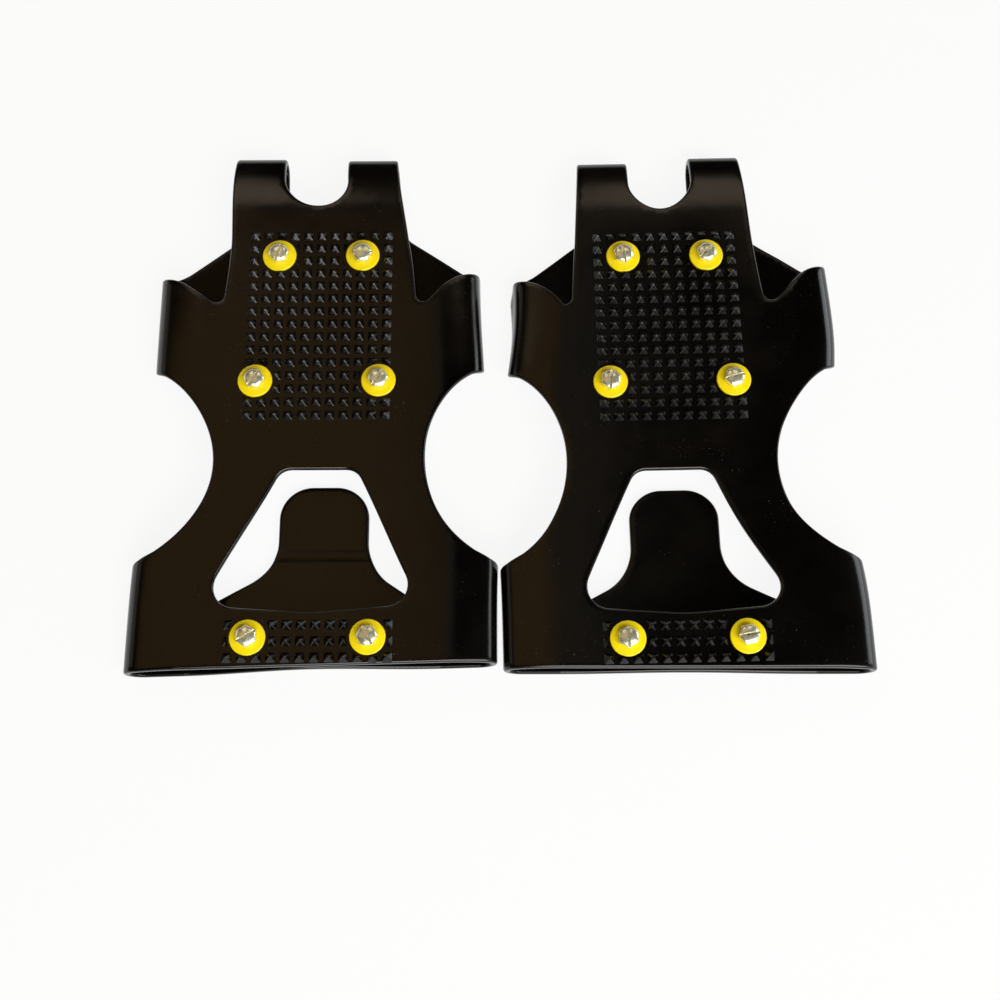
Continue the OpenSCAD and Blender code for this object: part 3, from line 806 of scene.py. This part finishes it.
# Moulded rubber: worn patches on near black, specks of dust that gather in drifts, and a duller foot side
def rubberFinish():
    material, finish = newFinish("mouldedRubber")
    look = rubberLook
    worn = finish.patches(**look["wear"])
    dust = finish.patches(**look["specks"]) * finish.patches(**look["drift"]) * look["dustShare"]
    colour = finish.mixed(dust, finish.mixed(worn, look["dark"], look["worn"]), look["dust"])
    low, high = look["roughness"]
    roughness = low + (high - low) * worn
    relief = finish.noise(**look["swell"]) + look["grainShare"] * finish.noise(**look["grain"])
    bump = finish.bump(relief, **look["relief"])
    satin = finish.node("ShaderNodeBsdfPrincipled", {}, {
        "Base Color": colour, "Roughness": roughness + look["dustRoughness"] * dust, "Normal": bump})
    dull = finish.node("ShaderNodeBsdfPrincipled", {}, {
        "Base Color": colour, "Roughness": roughness, "Normal": bump,
        "Specular IOR Level": look["footSpecular"]})
    footSide = finish.node("ShaderNodeAttribute", {"attribute_name": "footSide"}, output="Fac")
    finish.surface(finish.node("ShaderNodeMixShader", {}, {0: footSide, 1: satin, 2: dull}))
    return material


washerLook = {
    "yellow": (0.95, 0.79, 0.006, 1), "deep": (0.90, 0.68, 0.004, 1), "roughness": (0.26, 0.4),
    "cloud": {"scale": 420.0, "detail": 3.0, "roughness": 0.5},
    "scuff": {"scale": 2600.0, "detail": 2.0, "roughness": 0.7, "start": 0.55, "stop": 0.75},
    "relief": {"strength": 0.08, "distance": 0.0003},
}


# Yellow plastic: clouds of a deeper yellow that also swell a little, and fine scuffs that roughen it
def washerFinish():
    material, finish = newFinish("yellowWasherPlastic")
    look = washerLook
    cloud, scuff = finish.noise(**look["cloud"]), finish.patches(**look["scuff"])
    low, high = look["roughness"]
    finish.surface(finish.node("ShaderNodeBsdfPrincipled", {}, {
        "Base Color": finish.mixed(cloud, look["yellow"], look["deep"]),
        "Roughness": low + (high - low) * scuff, "Normal": finish.bump(cloud, **look["relief"])}))
    return material


steelLook = {
    "stud": {"light": (0.93, 0.93, 0.72, 1), "dull": (0.84, 0.84, 0.60, 1), "roughness": (0.20, 0.30)},
    "nut": {"light": (0.62, 0.63, 0.61, 1), "dull": (0.48, 0.48, 0.45, 1), "roughness": (0.3, 0.5)},
    "oxide": {"scale": 900.0, "detail": 3.0, "roughness": 0.5, "start": 0.3, "stop": 0.75},
    "metallic": 0.85, "oxideLoss": 0.15,  # bare zinc, and what oxide takes from it
    "scratch": {"scale": 1500.0, "detail": 3.0, "roughness": 0.6},
    "relief": {"strength": 0.02, "distance": 0.0002},
}


# Zinc-plated steel: dull patches of oxide, rougher and less metallic than bare plating, with fine scratches
def steelFinish(part):
    material, finish = newFinish(part + "ZincSteel")
    look = steelLook[part]
    oxide, scratch = finish.patches(**steelLook["oxide"]), finish.noise(**steelLook["scratch"])
    low, high = look["roughness"]
    finish.surface(finish.node("ShaderNodeBsdfPrincipled", {}, {
        "Base Color": finish.mixed(oxide, look["light"], look["dull"]),
        "Metallic": steelLook["metallic"] - steelLook["oxideLoss"] * oxide,
        "Roughness": low + (high - low) * oxide, "Normal": finish.bump(scratch, **steelLook["relief"])}))
    return material


# Gives a piece its finish
def wear(piece, material):
    piece.data.materials.clear()
    piece.data.materials.append(material)


rubber, yellow = rubberFinish(), washerFinish()
studSteel, nutSteel = steelFinish("stud"), steelFinish("nut")
for piece in makeSoles() + makeHeelBands() + makeTreads():
    wear(piece, rubber)
for side in sides:
    for place in studPlaces:
        base = f"{side}_{place}"
        wear(washerPiece(side, place), yellow)
        wear(edgedCopy(base + "_stud", "stud", base + "_stud"), studSteel)
        wear(edgedCopy(base + "_nut", "nut", "cleats"), nutSteel)
print("hardware:", len(sides) * len(studPlaces), "studs, washers and nuts")


# Square sheet of the set at one height, in metres
def stageSheet(name, size, height, material):
    half = size / 2
    corners = [(-half, -half, height), (half, -half, height), (half, half, height), (-half, half, height)]
    mesh = bpy.data.meshes.new(name)
    mesh.from_pydata(corners, [], [(0, 1, 2, 3)])
    mesh.materials.append(material)
    return added(name, mesh)


floorLook = {"size": 6.0, "level": -0.0004, "lit": (0.82, 0.82, 0.82, 1), "seen": (1, 1, 1, 1),
             "shadowShare": 0.10}


# Floor: white to the camera and in reflections, with a share of plain lit floor that keeps the shadow
def makeFloor():
    material, finish = newFinish("paleFloor")
    lit = finish.node("ShaderNodeBsdfDiffuse", {}, {"Color": floorLook["lit"]})
    white = finish.node("ShaderNodeEmission", {}, {"Color": floorLook["seen"], "Strength": 1.0})
    share = finish.backgroundRays() * (1 - floorLook["shadowShare"])
    finish.surface(finish.node("ShaderNodeMixShader", {}, {0: share, 1: lit, 2: white}))
    stageSheet("studioFloor", floorLook["size"], floorLook["level"], material)


flagLook = {"size": 24.0, "height": 1.6, "cloth": (0.012, 0.012, 0.012, 1)}


# Black flag hung over the set, which keeps the white room out of the soles' reflections
def makeFlag():
    material, finish = newFinish("blackCloth")
    finish.surface(finish.node("ShaderNodeBsdfDiffuse", {}, {"Color": flagLook["cloth"]}))
    flag = stageSheet("blackFlag", flagLook["size"], flagLook["height"], material)
    flag.visible_camera = False


# Turns a light or the camera, which look along minus z, from its place to its aim
def aimed(made, spec):
    made.location = spec["at"]
    look = Vector(spec["aim"]) - Vector(spec["at"])
    made.rotation_euler = look.to_track_quat("-Z", "Y").to_euler()


studioLights = {  # softboxes and cards: place and aim in metres, size, strength in watts, colour
    "keyPanel": {"at": (0.45, -1.02, 0.95), "aim": (0, 0, 0), "size": (1.8, 1.0), "power": 33.0,
                 "colour": (1.0, 0.98, 0.95)},
    "leftToePanel": {"at": (-0.50, 0.98, 1.0), "aim": (-0.10, 0.08, 0), "size": (0.52, 0.5), "power": 1.0,
                     "colour": (1.0, 0.78, 0.57)},
    "rightToePanel": {"at": (0.34, 0.98, 1.0), "aim": (0.05, 0.08, 0), "size": (0.56, 0.5), "power": 0.95,
                      "colour": (1.0, 0.80, 0.60)},
    "warmCard": {"at": (-0.65, 0.24, 1.0), "aim": (-0.65, 0.24, 0), "size": (1.10, 0.7), "power": 0.90,
                 "colour": (1.0, 0.60, 0.24)},
    "fadeCard": {"at": (-0.03, 0.24, 1.0), "aim": (-0.03, 0.24, 0), "size": (0.14, 0.7), "power": 0.07,
                 "colour": (1.0, 0.66, 0.32)},
    "paleCard": {"at": (0.08, 0.28, 1.0), "aim": (0.08, 0.28, 0), "size": (0.08, 0.6), "power": 0.026,
                 "colour": (1.0, 0.95, 0.88)},
    "rightWindow": {"at": (0.95, -0.55, 0.42), "aim": (0.05, 0, 0), "size": (0.8, 0.8), "power": 1.6,
                    "colour": (0.90, 0.96, 1.0)},
    "rightSide": {"at": (1.1, 0.32, 0.30), "aim": (0.05, 0, 0), "size": (0.6, 0.5), "power": 2.6,
                  "colour": (0.88, 0.96, 1.0)},
    "leftSide": {"at": (-1.1, 0.32, 0.34), "aim": (-0.05, 0, 0), "size": (0.6, 0.55), "power": 0.45,
                 "colour": (1.0, 0.9, 0.74)},
}


# Area lights, each at its place
def makeLights():
    for name, spec in studioLights.items():
        light = bpy.data.lights.new(name, "AREA")
        light.shape, light.energy, light.color = "RECTANGLE", spec["power"], spec["colour"]
        light.size, light.size_y = spec["size"]
        aimed(added(name, light), spec)


roomLook = {"lit": (0.012, 0.012, 0.012, 1), "seen": (1, 1, 1, 1)}


# Room: a dim light all round, white wherever it is seen as background
def makeRoom():
    world = bpy.data.worlds.new("studioRoom")
    bpy.context.scene.world = world
    finish = Finish(world)
    colour = finish.mixed(finish.backgroundRays(), roomLook["lit"], roomLook["seen"])
    room = finish.node("ShaderNodeBackground", {}, {"Color": colour, "Strength": 1.0})
    finish.node("ShaderNodeOutputWorld", {}, {"Surface": room})


viewpoint = {"at": (0.0007, -0.1805, 0.4760), "aim": (0.0007, -0.0402, 0.0170), "lens": 48.85, "sensor": 36.0,
             "nearest": 0.01}


# Camera: 73 degrees above the horizon, at the heel's side
def makeCamera():
    lens = bpy.data.cameras.new("photoCamera")
    lens.lens, lens.sensor_width, lens.clip_start = (viewpoint[key] for key in ("lens", "sensor", "nearest"))
    camera = added("photoCamera", lens)
    aimed(camera, viewpoint)
    bpy.context.scene.camera = camera


makeFloor()
makeFlag()
makeLights()
makeRoom()
makeCamera()
bpy.context.scene.view_settings.view_transform = "Standard"
print("floor, lights and camera")
